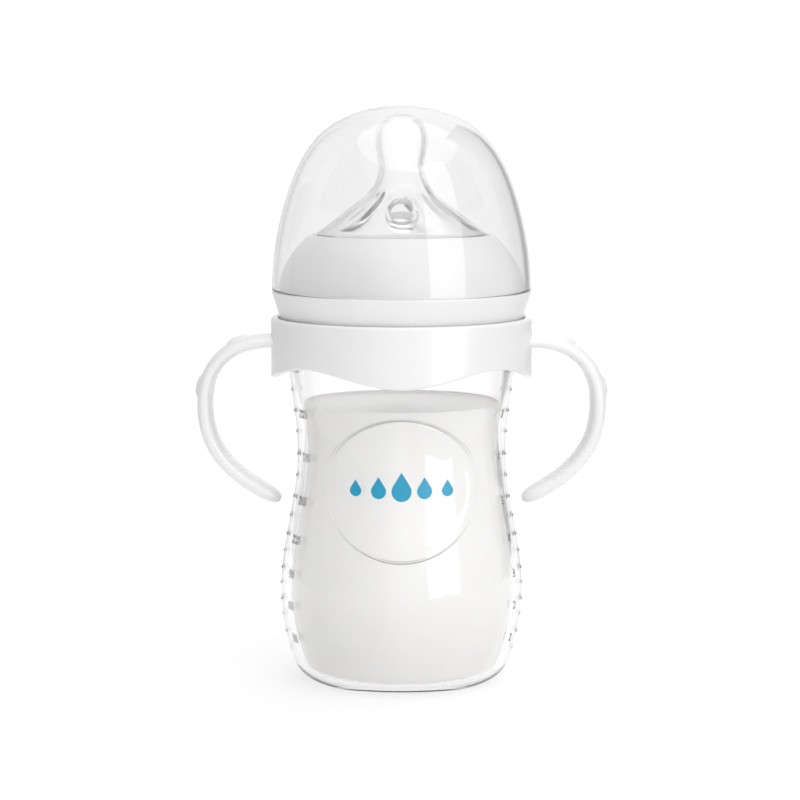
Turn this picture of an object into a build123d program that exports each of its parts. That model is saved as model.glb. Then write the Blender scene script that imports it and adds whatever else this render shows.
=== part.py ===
"""Baby bottle with a clear dome cover and a two-handled ring.

Millimetres. +Z is up, the origin is the middle of the bottle's base, +X points along one
handle and the medallion faces -Y.
"""

import math
import os

from build123d import *

# ---- driving dimensions ---------------------------------------------------------------------
overall_height = 165.0
gap = 0.4

# bottle
wall = 2.5
base_radius = 23.4
base_corner = 8.0
base_recess_radius = 19.0
base_recess_depth = 1.0
bulge_radius = 34.8
bulge_z = 26.5
waist_radius = 29.85
waist_z = 66.0
upper_radius = 31.1
upper_z = 81.0
shoulder_radius = 33.2
shoulder_z = 99.0
shoulder_round = 1.5
neck_radius = 30.4
rim_z = 119.0
milk_z = 80.8

# medallion on the front of the bottle, and the row of drops printed on it
medallion_half_width = 21.6
medallion_half_height = 20.1
medallion_z = 58.8
medallion_proud = 0.6
print_proud = 0.15
drop_radii = (1.6, 2.1, 2.8, 2.1, 1.6)
drop_pitch = 6.4
drop_point = 1.9

# volume scale on both sides: a mark every 15 ml, and a wide one every 30 ml
tick_step_mm3 = 15000
tick_proud = 0.35
tick_thickness = 0.8
tick_widths = (3.4, 6.2)
tick_reach = 12.0

# screw thread between bottle and collar
thread_pitch = 4.0
thread_turns = 1.25
thread_height = 1.5
thread_base = 2.0
thread_crest = 1.0
thread_root_bite = 0.4
bottle_thread_z = 107.5

# collar
collar_bottom_z = 103.0
collar_bore = neck_radius + thread_height + 0.9
skirt_bottom_radius = 34.3
ledge_radius = 37.1
ledge_z = 112.5
dome_foot_radius = 35.1
lip_z = 129.1
lip_radius = 25.4
sleeve_wall = 1.7
sleeve_top_z = lip_z - 4.5
bore_top_z = ledge_z + 4.0

# teat
flange_radius = 29.6
flange_thickness = 2.0
teat_wall = 1.4
teat_base_radius = lip_radius - gap
flank_foot_z = lip_z - 0.9
flank_end_radius = 11.6
flank_end_z = 138.3
flank_end_lean = (0.75, 0.65)
teat_tip_z = 162.9
bulb_radius = 7.45
bulb_z = 155.0
teat_neck_radius = 6.45
teat_neck_z = 147.3
tip_hole_radius = 0.5
vent_radius = 4.5
vent_z = 135.6
vent_reach = 17.0
vent_tilt = 28.0
vent_depth = 9.0
vent_rim = 1.2
vent_cup_depth = 1.6
vent_slit = (3.0, 0.4)

# dome cover
cover_radius = 37.1
cover_wall = 1.5
cover_side = [((33.4, 137.4), (0.95, 0.30)), ((22.0, 158.0), (0.65, 0.75))]

# handle ring
ring_radius = 37.4
ring_inner_radius = 35.4
ring_top_z = 105.0
ring_bottom_z = 87.7
ring_wave = 4.4
web_z = shoulder_z + shoulder_round
web_thickness = 1.8
web_inner_radius = neck_radius + 0.6
ring_top_round = 0.8
arm_root_z = 98.1
arm_root_width = 15.6
arm_tip_width = 10.0
arm_root_thickness = 3.6
arm_thickness = 4.4
arm_thickening = 2.4
arm_edge_round = 1.4
arm_route = [
    (36.6, arm_root_z),
    (48.0, 95.7),
    (54.4, 89.3),
    (56.4, 80.8),
    (53.9, 68.0),
    (46.2, 58.9),
    (36.7, 53.0),
]
arm_start = (1.0, -0.02)
arm_end = (-0.88, -0.47)
arm_stations = 7
bump_size = (3.9, 4.6, 2.2)
bump_sink = 1.0
bump_places = (0.155, 0.40)


# ---- helpers --------------------------------------------------------------------------------
def spin(*edges):
    """Solid of revolution about Z from edges drawn in the XZ plane, closed by a straight line."""
    outline = list(edges)
    start = outline[0] @ 0
    end = outline[-1] @ 1
    if (start - end).length > 1e-6:
        outline.append(Line(end, start))
    return revolve(make_face(Wire(outline)), Axis.Z)


def point(radius, z):
    return Vector(radius, 0, z)


def chain(*points):
    """Straight runs through (radius, z) points."""
    return [Line(point(*a), point(*b)) for a, b in zip(points, points[1:])]


def side_outline(inset):
    """The bottle's side and base corner, moved inward by inset, from the base up to the shoulder."""
    corner = base_corner - inset
    foot = point(base_radius, inset)
    swing = math.radians(70)
    turn = point(
        base_radius + corner * math.sin(swing),
        base_corner - corner * math.cos(swing),
    )
    middle = point(
        base_radius + corner * math.sin(swing / 2),
        base_corner - corner * math.cos(swing / 2),
    )
    round_corner = ThreePointArc(foot, middle, turn)
    rise = Vector(0, 0, 1)
    belly = Spline(
        turn, point(bulge_radius - inset, bulge_z), tangents=[round_corner % 1, rise]
    )
    hollow = Spline(
        point(bulge_radius - inset, bulge_z),
        point(waist_radius - inset, waist_z),
        tangents=[rise, rise],
    )
    flare = Spline(
        point(waist_radius - inset, waist_z),
        point(upper_radius - inset, upper_z),
        point(shoulder_radius - inset, shoulder_z),
        tangents=[rise, Vector(0.08, 0, 1)],
    )
    return [round_corner, belly, hollow, flare]


def outer_bottle(proud=0.0):
    """The bottle's outside as a solid, up to the shoulder, swollen by proud."""
    side = side_outline(-proud)
    foot = side[0] @ 0
    top = side[-1] @ 1
    runs = chain((top.X, top.Z), (0, shoulder_z), (0, foot.Z), (foot.X, foot.Z))
    return spin(*side, *runs)


def helical_rib(radius, z, outward):
    """One thread rib: a trapezoid swept along a helix, its foot sunk into the wall."""
    direction = 1 if outward else -1
    path = Helix(thread_pitch, thread_pitch * thread_turns, radius).moved(Location((0, 0, z)))
    foot = -direction * thread_root_bite
    crest = direction * thread_height
    start = path @ 0
    section_plane = Plane(origin=start, x_dir=Vector(1, 0, 0), z_dir=path % 0)
    corners = [
        (foot, -thread_base / 2),
        (crest, -thread_crest / 2),
        (crest, thread_crest / 2),
        (foot, thread_base / 2),
    ]
    section = section_plane * make_face(Polyline(*corners, close=True))
    return sweep(section, path=path, is_frenet=True)


# ---- bottle ---------------------------------------------------------------------------------
def make_cavity(top_z=None):
    """The space inside the bottle: all of it, or up to top_z."""
    side = side_outline(wall)
    top = side[-1] @ 1
    runs = chain(
        (top.X, top.Z),
        (neck_radius - wall, web_z),
        (neck_radius - wall, rim_z + 1),
        (0, rim_z + 1),
        (0, wall),
        (base_radius, wall),
    )
    space = spin(*side, *runs)
    if top_z is not None:
        keep = Cylinder(2 * bulge_radius, top_z, align=(Align.CENTER, Align.CENTER, Align.MIN))
        space = space & keep
    return space


def tick_heights():
    """Height of each volume mark below the handle ring, from the volume inside the bottle."""
    samples = 60
    heights = []
    volume = 0.0
    before = point(base_radius, wall)
    for edge in side_outline(wall):
        for index in range(1, samples + 1):
            here = edge @ (index / samples)
            step = math.pi * (before.X**2 + here.X**2) / 2 * (here.Z - before.Z)
            due = (len(heights) + 1) * tick_step_mm3
            if volume + step >= due:
                share = (due - volume) / step
                heights.append(before.Z + share * (here.Z - before.Z))
            volume += step
            before = here
    return [z for z in heights if z < ring_bottom_z]


def make_scale(skin):
    """Moulded ticks up both sides, every second one wide, cut from a slightly swollen bottle."""
    ticks = []
    for side in (-1, 1):
        for index, z in enumerate(tick_heights()):
            block = Box(tick_reach, tick_widths[index % 2], tick_thickness)
            ticks.append(Location((side * waist_radius, 0, z)) * block)
    return skin & (Part() + ticks)


def make_medallion(skin):
    """An oval lens on the front, standing slightly proud of the wall."""
    oval = Plane(origin=(0, 0, medallion_z), x_dir=(1, 0, 0), z_dir=(0, -1, 0))
    disc = extrude(oval * Ellipse(medallion_half_width, medallion_half_height), 2 * bulge_radius)
    return skin & disc


def make_bottle_body():
    outside = outer_bottle()
    neck = spin(
        *chain(
            (0, shoulder_z - 1),
            (shoulder_radius, shoulder_z - 1),
            (shoulder_radius, shoulder_z),
            (shoulder_radius, web_z),
            (neck_radius, web_z),
            (neck_radius, rim_z),
            (0, rim_z),
            (0, shoulder_z - 1),
        )
    )
    shoulder = neck.edges().filter_by(GeomType.CIRCLE)
    shoulder = [e for e in shoulder if abs(e.radius - shoulder_radius) < 1e-3]
    top_edge = max(shoulder, key=lambda e: e.center().Z)
    neck = fillet(top_edge, shoulder_round - 0.1)
    body = outside + neck + make_medallion(outer_bottle(medallion_proud))
    body = body + make_scale(outer_bottle(tick_proud))
    body = body + helical_rib(neck_radius, bottle_thread_z, True)
    recess = Cone(
        base_recess_radius + base_recess_depth,
        base_recess_radius,
        base_recess_depth,
        align=(Align.CENTER, Align.CENTER, Align.MIN),
    )
    return body - make_cavity() - recess


def drop_shape(radius):
    """A drop with its point up: a round body whose two straight flanks meet at the point."""
    tip = drop_point * radius
    lean = math.acos(1 / drop_point)
    across = radius * math.sin(lean)
    up = radius * math.cos(lean)
    body = ThreePointArc((across, up), (0, -radius), (-across, up))
    flanks = Polyline((-across, up), (0, tip), (across, up))
    return make_face(Wire([body, *flanks.edges()]))


def make_front_print():
    """A row of drops on the medallion, growing towards the middle."""
    skin = outer_bottle(medallion_proud + print_proud) - outer_bottle(medallion_proud)
    face = Plane(origin=(0, 0, medallion_z), x_dir=(1, 0, 0), z_dir=(0, -1, 0))
    drops = Part()
    for index, radius in enumerate(drop_radii):
        offset = (index - (len(drop_radii) - 1) / 2) * drop_pitch
        drops = drops + extrude(face * Pos(offset, 0) * drop_shape(radius), 2 * bulge_radius)
    return skin & drops


# ---- teat -----------------------------------------------------------------------------------
def teat_outline(inset):
    """Flank, neck and bulb of the teat, moved inward by inset, from its foot up to the tip."""
    foot = point(teat_base_radius - inset, flank_foot_z)
    flank_end = point(
        flank_end_radius - inset * flank_end_lean[0], flank_end_z - inset * flank_end_lean[1]
    )
    neck = point(teat_neck_radius - inset, teat_neck_z)
    bulb = point(bulb_radius - inset, bulb_z)
    tip = point(0, teat_tip_z - inset)
    flank = Line(foot, flank_end)
    rise = Vector(0, 0, 1)
    throat = Spline(flank_end, neck, tangents=[flank % 1, rise])
    swell = Spline(neck, bulb, tangents=[rise, rise])
    crown = Spline(bulb, tip, tangents=[rise, Vector(-1, 0, 0)], tangent_scalars=[1.25, 1.05])
    return [flank, throat, swell, crown]


def make_teat():
    outer = teat_outline(0)
    inner = teat_outline(teat_wall)
    foot = outer[0] @ 0
    flange_top = rim_z + flange_thickness
    outside = spin(
        *outer,
        *chain(
            (0, teat_tip_z),
            (0, rim_z),
            (flange_radius, rim_z),
            (flange_radius, flange_top),
            (teat_base_radius, flange_top),
            (foot.X, foot.Z),
        ),
    )
    inner_foot = inner[0] @ 0
    hollow = spin(
        *inner,
        *chain(
            (0, teat_tip_z - teat_wall),
            (0, rim_z - 1),
            (inner_foot.X, rim_z - 1),
            (inner_foot.X, inner_foot.Z),
        ),
    )
    boss_plane = Plane(
        origin=(0, -vent_reach, vent_z),
        x_dir=(1, 0, 0),
        z_dir=Vector(0, -1, 0).rotate(Axis.X, -vent_tilt),
    )
    boss = extrude(boss_plane * Circle(vent_radius), -vent_depth)
    cup = extrude(boss_plane * Circle(vent_radius - vent_rim), -vent_cup_depth)
    slit = extrude(boss_plane * Rectangle(*vent_slit), -1.5 * vent_depth)
    tip_hole = Pos(0, 0, teat_tip_z) * Cylinder(tip_hole_radius, 3 * teat_wall)
    return outside + boss - hollow - cup - slit - tip_hole


# ---- collar ---------------------------------------------------------------------------------
def make_collar():
    """The screw collar: rounded top, lip, clamping sleeve, threaded bore, skirt and ledge."""
    top = Spline(
        point(dome_foot_radius, ledge_z),
        point(lip_radius, lip_z),
        tangents=[Vector(0.02, 0, 1), Vector(-1.0, 0, 0.75)],
    )
    sleeve = lip_radius + sleeve_wall
    seat_z = rim_z + flange_thickness
    profile = spin(
        top,
        *chain(
            (lip_radius, lip_z),
            (lip_radius, seat_z),
            (sleeve, seat_z),
            (sleeve, sleeve_top_z),
            (collar_bore, bore_top_z),
            (collar_bore, collar_bottom_z),
            (skirt_bottom_radius, collar_bottom_z),
            (ledge_radius, ledge_z),
            (dome_foot_radius, ledge_z),
        ),
    )
    rib = helical_rib(collar_bore, bottle_thread_z - thread_pitch / 2, False)
    return profile + rib


# ---- dome cover -----------------------------------------------------------------------------
def cover_outline(inset):
    """The cover's side and crown, moved inward by inset along each point's own direction."""
    side = [point(r - inset * out, z - inset * up) for (r, z), (out, up) in cover_side]
    return Spline(
        point(cover_radius - inset, ledge_z),
        *side,
        point(0, overall_height - inset),
        tangents=[Vector(-0.01, 0, 1), Vector(-1, 0, 0)],
    )


def make_dome_cover():
    outside = spin(
        cover_outline(0), *chain((0, overall_height), (0, ledge_z), (cover_radius, ledge_z))
    )
    inner_radius = cover_radius - cover_wall
    inside = spin(
        cover_outline(cover_wall),
        *chain(
            (0, overall_height - cover_wall),
            (0, ledge_z - 1),
            (inner_radius, ledge_z - 1),
            (inner_radius, ledge_z),
        ),
    )
    return outside - inside


# ---- handle ring ----------------------------------------------------------------------------
def make_ring():
    """The band round the shoulder, with its inner web and its wavy lower edge."""
    band = spin(
        *chain(
            (ring_inner_radius, ring_bottom_z),
            (ring_radius, ring_bottom_z),
            (ring_radius, ring_top_z),
            (ring_inner_radius, ring_top_z),
            (ring_inner_radius, web_z + web_thickness),
            (web_inner_radius, web_z + web_thickness),
            (web_inner_radius, web_z),
            (ring_inner_radius, web_z),
            (ring_inner_radius, ring_bottom_z),
        )
    )
    top_edges = [e for e in band.edges() if abs(e.center().Z - ring_top_z) < 1e-6]
    band = fillet(top_edges, ring_top_round)
    reach = ring_radius * math.sin(math.radians(45))
    level = Vector(1, 0, 0)
    arch = Spline((-reach, 0, 0), (0, 0, ring_wave), (reach, 0, 0), tangents=[level, level])
    below = Polyline((reach, 0, 0), (reach, 0, -2), (-reach, 0, -2), (-reach, 0, 0))
    cutter = extrude(make_face(Wire([arch, *below.edges()])), 2 * ring_radius, both=True)
    for angle in (45, 135):
        band = band - Pos(0, 0, ring_bottom_z) * Rot(0, 0, angle) * cutter
    return band


def make_arm():
    """One open handle: a flat curved strap, widest at its root, with two raised grip pads."""
    tangents = [Vector(arm_start[0], 0, arm_start[1]), Vector(arm_end[0], 0, arm_end[1])]
    route = Spline(*[point(*p) for p in arm_route], tangents=tangents)
    outer_points = []
    inner_points = []
    for index in range(arm_stations):
        step = index / (arm_stations - 1)
        here = route @ step
        along = route % step
        normal = Vector(-along.Z, 0, along.X)
        half = min(arm_thickness, arm_root_thickness + arm_thickening * step) / 2
        outer_points.append(here + normal * half)
        inner_points.append(here - normal * half)
    tip = route @ 1 + (route % 1) * arm_thickness / 2
    outer = Spline(*outer_points, tangents=[route % 0, route % 1])
    inner = Spline(*inner_points, tangents=[route % 0, route % 1])
    end_cap = ThreePointArc(outer @ 1, tip, inner @ 1)
    root = Line(inner @ 0, outer @ 0)
    strap_face = make_face(Wire([outer, end_cap, inner, root]))
    strap = extrude(strap_face, arm_root_width / 2, both=True)
    low = arm_route[-1][1] - arm_thickness
    high = arm_root_z + arm_thickness
    taper = Polyline(
        (0, -arm_tip_width / 2, low),
        (0, -arm_root_width / 2, high),
        (0, arm_root_width / 2, high),
        (0, arm_tip_width / 2, low),
        close=True,
    )
    strap = strap & extrude(make_face(taper), 2 * ring_radius, dir=(1, 0, 0))
    side_edges = [e for e in strap.edges() if abs(e.center().Y) > 1]
    strap = fillet([e for e in side_edges if e.length > arm_thickness], arm_edge_round)
    for place in bump_places:
        here = route @ place
        along = route % place
        normal = Vector(-along.Z, 0, along.X)
        centre = here + normal * (arm_thickness / 2 - bump_sink)
        frame = Plane(origin=centre, x_dir=along, z_dir=normal)
        strap = strap + frame * scale(Sphere(1), by=bump_size)
    return strap


def make_handle_ring():
    arm = make_arm()
    hole = Cylinder(ring_inner_radius + 0.5, 4 * ring_wave).moved(Location((0, 0, arm_root_z)))
    arm = arm - hole
    return make_ring() + arm + Rot(0, 0, 180) * arm


# ---- write every piece ----------------------------------------------------------------------
pieces = {
    "bottle_body": make_bottle_body,
    "front_print": make_front_print,
    "milk_fill": lambda: make_cavity(milk_z),
    "teat": make_teat,
    "collar_ring": make_collar,
    "dome_cover": make_dome_cover,
    "handle_ring": make_handle_ring,
}

os.makedirs("parts", exist_ok=True)
for name, make in pieces.items():
    export_step(make(), f"parts/{name}.step")
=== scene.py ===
"""Looks of the baby bottle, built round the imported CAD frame. Lengths are in millimetres until
a mesh is made; MM turns them into metres."""

import math

import bpy
import numpy as np
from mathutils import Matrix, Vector


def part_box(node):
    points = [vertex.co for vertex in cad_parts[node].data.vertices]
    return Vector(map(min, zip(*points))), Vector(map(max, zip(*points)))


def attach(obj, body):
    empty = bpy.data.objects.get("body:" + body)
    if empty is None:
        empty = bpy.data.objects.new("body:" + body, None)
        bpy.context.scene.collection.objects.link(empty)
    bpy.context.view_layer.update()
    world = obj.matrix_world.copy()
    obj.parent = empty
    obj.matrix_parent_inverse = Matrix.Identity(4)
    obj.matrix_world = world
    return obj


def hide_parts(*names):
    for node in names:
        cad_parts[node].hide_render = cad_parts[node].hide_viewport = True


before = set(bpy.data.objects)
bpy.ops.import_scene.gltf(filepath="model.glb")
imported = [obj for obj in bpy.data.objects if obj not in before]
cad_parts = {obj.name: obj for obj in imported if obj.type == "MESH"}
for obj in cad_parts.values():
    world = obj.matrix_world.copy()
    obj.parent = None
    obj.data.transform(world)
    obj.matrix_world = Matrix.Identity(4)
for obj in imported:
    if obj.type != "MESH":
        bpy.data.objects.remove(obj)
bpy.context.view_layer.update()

MM = 0.001
TAU = 2 * math.pi
MM3_PER_ML = 1000
SMOOTH_ANGLE = math.radians(35)


def node_mm(node):
    """Lowest and highest corner of a CAD node, in millimetres."""
    low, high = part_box(node)
    return low / MM, high / MM


# ---- sizes taken from the frame -------------------------------------------------------------
bottle_low, bottle_high = node_mm("bottle_body")
milk_low, milk_high = node_mm("milk_fill")
collar_low, collar_high = node_mm("collar_ring")
cover_low, cover_high = node_mm("dome_cover")
teat_high = node_mm("teat")[1]
ring_high = node_mm("handle_ring")[1]

RIM_Z = bottle_high.z
BULGE_RADIUS = -bottle_low.y
WALL = milk_low.z
MILK_Z = milk_high.z
FLANGE_RADIUS = teat_high.x
TIP_CUT = 0.02  # the tip hole takes this much off the top of the crown
TIP_Z = teat_high.z + TIP_CUT
COLLAR_BOTTOM = collar_low.z
LIP_Z = collar_high.z
COVER_RADIUS = cover_high.x
LEDGE_Z = cover_low.z
TOP_Z = cover_high.z
RING_RADIUS = ring_high.y
RING_TOP = ring_high.z

# ---- the rest of the shape ------------------------------------------------------------------
BASE_RADIUS, BASE_CORNER, CORNER_END = 23.4, 8.0, -20
RECESS_RADIUS, RECESS_DEPTH = 19.0, 1.0
BULGE_Z = 26.5
WAIST_RADIUS, WAIST_Z = 29.85, 66.0
UPPER_RADIUS, UPPER_Z = 31.1, 81.0
SHOULDER_RADIUS, SHOULDER_Z, SHOULDER_ROUND = 33.2, 99.0, 1.5
SHOULDER_LEAN = (0.08, 1)
NECK_RADIUS, RIM_ROUND = 30.4, 0.5
MILK_GAP = 0.35
WET_EDGE, WET_HEIGHT = 2.5, 0.7

THREAD_PITCH, THREAD_TURNS, THREAD_HEIGHT = 4.0, 1.25, 1.5
THREAD_BASE, THREAD_CREST, THREAD_FADE = 2.0, 1.0, 0.25
BOTTLE_THREAD_Z = 107.5

MEDALLION_WIDTH, MEDALLION_HEIGHT, MEDALLION_Z = 21.6, 20.1, 58.8
MEDALLION_PROUD, MEDALLION_EDGE = 0.6, 0.9
DISH_DEPTH, DISH_START, DISH_WIDTH = 0.3, 2.2, 1.6
DROP_RADII, DROP_PITCH, DROP_POINT = (1.6, 2.1, 2.8, 2.1, 1.6), 6.4, 1.9
PRINT_TOP, PRINT_FOOT = 0.12, -0.05
TICK_ML, TICK_PROUD, TICK_HALF = 15, 0.25, 0.4
TICK_LENGTHS = (3.4, 6.2)
NUMBER_SIZE, NUMBER_HALF_DEPTH, NUMBER_LIFT = 3.4, 0.22, 0.1
NUMBER_TURNS = {"left": -155, "right": -22}

THREAD_ROOM = 0.9
COLLAR_BORE = NECK_RADIUS + THREAD_HEIGHT + THREAD_ROOM
SKIRT_RADIUS, LEDGE_RADIUS, FOOT_RADIUS = 34.3, 37.1, 35.1
LIP_RADIUS, SLEEVE_WALL = 25.4, 1.7

FLANGE_THICKNESS, FLANGE_ROUND, TEAT_WALL = 2.0, 0.5, 1.4
TEAT_BASE = LIP_RADIUS - 0.4
TEAT_FOOT_Z = LIP_Z - 0.9
FLANK_END, FLANK_END_INSET = (11.6, 138.3), (0.75, 0.65)
CROWN_POWER = 2 / 2.6
BULB_RADIUS, BULB_Z = 7.45, 155.0
TEAT_NECK_RADIUS, TEAT_NECK_Z = 6.45, 147.3
TIP_HOLE = 0.5
RIB_LOW, RIB_HIGH, RIB_COUNT = 129.5, 141.5, 6
RIB_IN, RIB_DOWN = 0.9, 0.7
VENT_RADIUS, VENT_Z, VENT_REACH, VENT_TILT = 4.5, 135.6, 17.0, math.radians(28)
VENT_LENGTH, VENT_LIP, VENT_DEPTH = 4.5, 0.6, 1.6
COVER_WALL, COVER_EDGE = 1.5, 0.4
COVER_POINTS = (((33.4, 137.4), (0.95, 0.3)), ((22.0, 158.0), (0.65, 0.75)))

RING_WALL, RING_BOTTOM, RING_WAVE = 2.0, 87.7, 4.4
RING_ROUND, RING_TOP_ROUND, RING_INNER_ROUND = 0.7, 0.9, 0.5
WEB_Z, WEB_THICKNESS, WEB_RADIUS = 100.5, 1.8, NECK_RADIUS + 0.6
WEB_GAP = 0.02
ARM_ROUTE = [
    (35.9, 98.1),
    (48.0, 95.7),
    (54.4, 89.3),
    (56.4, 80.8),
    (53.9, 68.0),
    (46.2, 58.9),
    (36.7, 53.0),
]
ARM_START, ARM_END = (1.0, -0.02), (-0.88, -0.47)
ARM_THICKNESS, ARM_THICKENING, ARM_WIDTH = (3.6, 4.4), 2.4, (15.6, 10.0)
ARM_ROWS, ARM_POINTS, TIP_ROWS, TIP_LENGTH = 150, 48, 16, 3.2
SIDE_ROUNDING, FACE_ROUNDING, TIP_ROUNDING = 2 / 3.0, 2 / 2.6, 0.75
BUMPS = ((0.155, 3.9), (0.40, 3.3))  # place along the arm, half length
BUMP_HEIGHT, BUMP_HALF_WIDTH = 0.8, 4.6


# ---- curves ---------------------------------------------------------------------------------
def smooth_line(points, start, end, count):
    """count points on the smooth cubic through (radius, z) points, leaving along start and
    arriving along end."""
    knots = np.array(points, float)
    steps = np.linalg.norm(np.diff(knots, axis=0), axis=1)
    places = np.concatenate([[0], np.cumsum(steps)])
    size = len(knots)
    matrix = np.zeros((size, size))
    right = np.zeros((size, 2))
    matrix[0, 0] = matrix[-1, -1] = 1
    right[0] = np.array(start) / np.linalg.norm(start)
    right[-1] = np.array(end) / np.linalg.norm(end)
    for i in range(1, size - 1):
        before, after = steps[i - 1], steps[i]
        matrix[i, i - 1 : i + 2] = after, 2 * (before + after), before
        rise_before = (knots[i] - knots[i - 1]) / before
        rise_after = (knots[i + 1] - knots[i]) / after
        right[i] = 3 * (after * rise_before + before * rise_after)
    slopes = np.linalg.solve(matrix, right)
    result = []
    for place in np.linspace(0, places[-1], count):
        i = min(int(np.searchsorted(places, place, "right")) - 1, size - 2)
        t = (place - places[i]) / steps[i]
        h = steps[i]
        result.append(
            (2 * t**3 - 3 * t**2 + 1) * knots[i]
            + (t**3 - 2 * t**2 + t) * h * slopes[i]
            + (3 * t**2 - 2 * t**3) * knots[i + 1]
            + (t**3 - t**2) * h * slopes[i + 1]
        )
    return [tuple(p) for p in result]


def arc(centre, radius, first, last, count):
    """Points on an arc, with angles in degrees from +radius towards +z."""
    angles = np.radians(np.linspace(first, last, count))
    return [(centre[0] + radius * math.cos(a), centre[1] + radius * math.sin(a)) for a in angles]


def run(start, end, count):
    """Points on a straight line, both ends included."""
    return [tuple(p) for p in np.linspace(start, end, count)]


def join(*pieces):
    """One outline from several, with doubled points dropped."""
    outline = []
    for piece in pieces:
        for p in piece:
            if not outline or math.dist(outline[-1], p) > 1e-4:
                outline.append(p)
    return outline


def ramp(value):
    """Smooth step from 0 to 1."""
    t = min(max(value, 0.0), 1.0)
    return t * t * (3 - 2 * t)


# ---- meshes ---------------------------------------------------------------------------------
def add_object(name, vertices, faces, material):
    """A new object in the scene, smooth but for its sharp edges."""
    mesh = bpy.data.meshes.new(name)
    mesh.from_pydata(vertices, [], faces)
    mesh.shade_smooth()
    mesh.set_sharp_from_angle(angle=SMOOTH_ANGLE)
    mesh.materials.append(material)
    made = bpy.data.objects.new(name, mesh)
    bpy.context.scene.collection.objects.link(made)
    return made


def add_sheet(name, point, count, material):
    """A sheet of count by count squares; point gives the place at two shares from 0 to 1."""
    shares = np.linspace(0, 1, count + 1)
    vertices = [point(a, b) for a in shares for b in shares]
    faces = []
    for i in range(count):
        for j in range(count):
            a = i * (count + 1) + j
            faces.append((a, a + count + 1, a + count + 2, a + 1))
    return add_object(name, vertices, faces, material)


def even_angles(count):
    """count angles round a full turn."""
    return [TAU * i / count for i in range(count)]


def lathe(name, outline, angles, material, shape=None, closed=False):
    """A mesh turned about Z. outline runs from axis to axis, or is a closed loop; shape may move
    a point: shape(radius, z, angle, row) gives (radius, z)."""
    vertices = []
    rows = []
    for row, (radius, z) in enumerate(outline):
        if radius < 1e-6:
            rows.append([len(vertices)])
            vertices.append((0, 0, z * MM))
            continue
        rows.append(list(range(len(vertices), len(vertices) + len(angles))))
        for angle in angles:
            r, h = shape(radius, z, angle, row) if shape else (radius, z)
            vertices.append((r * math.cos(angle) * MM, r * math.sin(angle) * MM, h * MM))
    faces = []
    pairs = list(zip(rows, rows[1:]))
    if closed:
        pairs.append((rows[-1], rows[0]))
    count = len(angles)
    for lower, upper in pairs:
        for i in range(count):
            j = (i + 1) % count
            if len(lower) == 1:
                faces.append((lower[0], upper[j], upper[i]))
            elif len(upper) == 1:
                faces.append((lower[i], lower[j], upper[0]))
            else:
                faces.append((lower[i], lower[j], upper[j], upper[i]))
    return add_object(name, vertices, faces, material)


def combine(target, other, operation):
    """Boolean of two closed meshes, applied; other is removed."""
    cut = target.modifiers.new("combine", "BOOLEAN")
    cut.object = other
    cut.operation = operation
    cut.solver = "EXACT"
    graph = bpy.context.evaluated_depsgraph_get()
    mesh = bpy.data.meshes.new_from_object(target.evaluated_get(graph))
    target.modifiers.clear()
    target.data = mesh
    bpy.data.objects.remove(other)
    mesh.shade_smooth()
    mesh.set_sharp_from_angle(angle=SMOOTH_ANGLE)


# ---- materials ------------------------------------------------------------------------------
NOISE_RANGE = (0.3, 0.7)
# Painted shade on the medallion's edge: a dark line in the glass colour, standing in for the dark
# look of the lit raised rim, on top of the rim's real refraction.
OVAL_SHADE_PROFILE = ((0.966, 0.0), (0.979, 1.0), (0.986, 1.0), (0.996, 0.0))  # strength across the edge
OVAL_FADE = (0.35, 0.95)
OVAL_SHADE, OVAL_SHADE_COLOUR = 0.85, 0.2


def new_material(name, **values):
    """A Principled material with its own node tree; values are the shader's sockets."""
    material = bpy.data.materials.new(name)
    material.use_nodes = True
    nodes = material.node_tree.nodes
    shader = nodes["Principled BSDF"]
    for socket, value in values.items():
        shader.inputs[socket.replace("_", " ")].default_value = value
    return material, nodes, material.node_tree.links, shader


def calculate(nodes, links, operation, *values):
    """A math node's result; each value is a number or the output of another node."""
    node = nodes.new("ShaderNodeMath")
    node.operation = operation
    for socket, value in zip(node.inputs, values):
        if isinstance(value, bpy.types.NodeSocket):
            links.new(value, socket)
        else:
            socket.default_value = value
    return node.outputs["Value"]


def rescale(nodes, links, source, old, new):
    """A node that moves a number from one range to another and keeps it inside."""
    node = nodes.new("ShaderNodeMapRange")
    node.inputs["From Min"].default_value, node.inputs["From Max"].default_value = old
    node.inputs["To Min"].default_value, node.inputs["To Max"].default_value = new
    links.new(source, node.inputs["Value"])
    return node


def colour_stops(nodes, links, source, stops):
    """A node that turns a number into a colour; stops are (position, colour)."""
    node = nodes.new("ShaderNodeValToRGB")
    elements = node.color_ramp.elements
    elements[0].position = stops[0][0]
    elements[1].position = stops[-1][0]
    for position, _ in stops[1:-1]:
        elements.new(position)
    for element, (_, colour) in zip(elements, stops):
        element.color = (*colour, 1)
    links.new(source, node.inputs["Fac"])
    return node


def grey(level):
    """A neutral colour."""
    return (level, level, level)


def add_noise(nodes, links, scale, detail=2.0):
    """Noise in object space; scale is in waves per metre."""
    place = nodes.new("ShaderNodeTexCoord")
    noise = nodes.new("ShaderNodeTexNoise")
    noise.inputs["Scale"].default_value = scale
    noise.inputs["Detail"].default_value = detail
    links.new(place.outputs["Object"], noise.inputs["Vector"])
    return noise.outputs["Fac"]


def vary(nodes, links, source, target, low, high):
    """Drives a number socket between low and high from a noise."""
    spread = rescale(nodes, links, source, NOISE_RANGE, (low, high))
    links.new(spread.outputs["Result"], target)


def tint(nodes, links, source, target, low, high):
    """Drives a colour socket between two colours from a noise."""
    mix = colour_stops(nodes, links, source, list(zip(NOISE_RANGE, (low, high))))
    links.new(mix.outputs["Color"], target)


def roughen(nodes, links, source, shader, strength, distance):
    """Small bumps from a noise."""
    bump = nodes.new("ShaderNodeBump")
    bump.inputs["Strength"].default_value = strength
    bump.inputs["Distance"].default_value = distance
    links.new(source, bump.inputs["Height"])
    links.new(bump.outputs["Normal"], shader.inputs["Normal"])


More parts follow.
